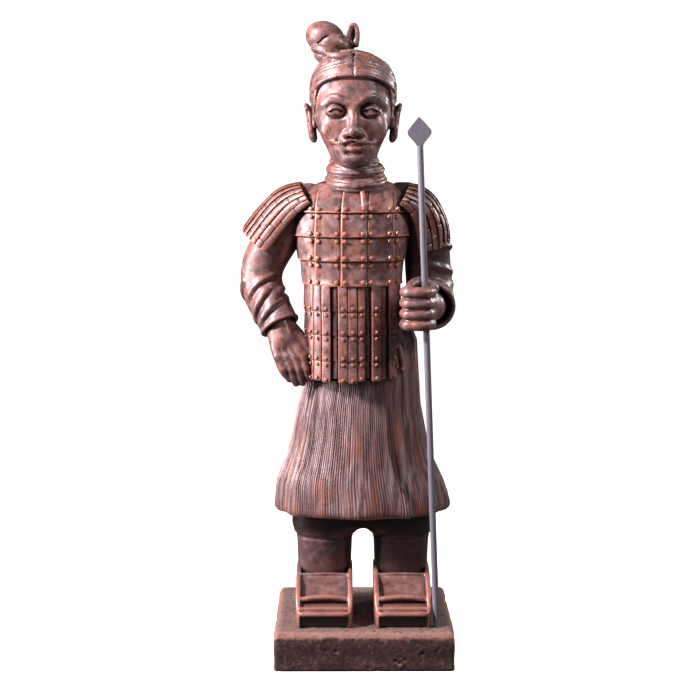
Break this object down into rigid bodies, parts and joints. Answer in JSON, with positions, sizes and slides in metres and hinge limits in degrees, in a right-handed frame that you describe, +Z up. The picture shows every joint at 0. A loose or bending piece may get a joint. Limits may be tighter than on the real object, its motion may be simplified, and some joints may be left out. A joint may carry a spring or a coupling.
{
  "type": "chinese warrior statue",
  "caption": "Standing armoured warrior with a topknot, one hand on the hip and a spear upright in the other fist, cast as one piece on a low rectangular plinth.",
  "frame": {"origin": "middle of the plinth's flat underside", "axes": "+Z up along the figure, -Y out of the figure's front, +X to the viewer's right"},
  "size_m": [0.4068, 0.3, 1.2006],
  "materials": {
    "plinth": "pitted, brown-red, matt to satin",
    "figure": "brown-red patina, waxed, with copper-red edges and near-black hollows",
    "spear": "smooth grey paint"
  },
  "bodies": {
    "root": {"plinth": "plinth", "warrior_figure": "figure", "spear": "spear"}
  },
  "joints": []
}
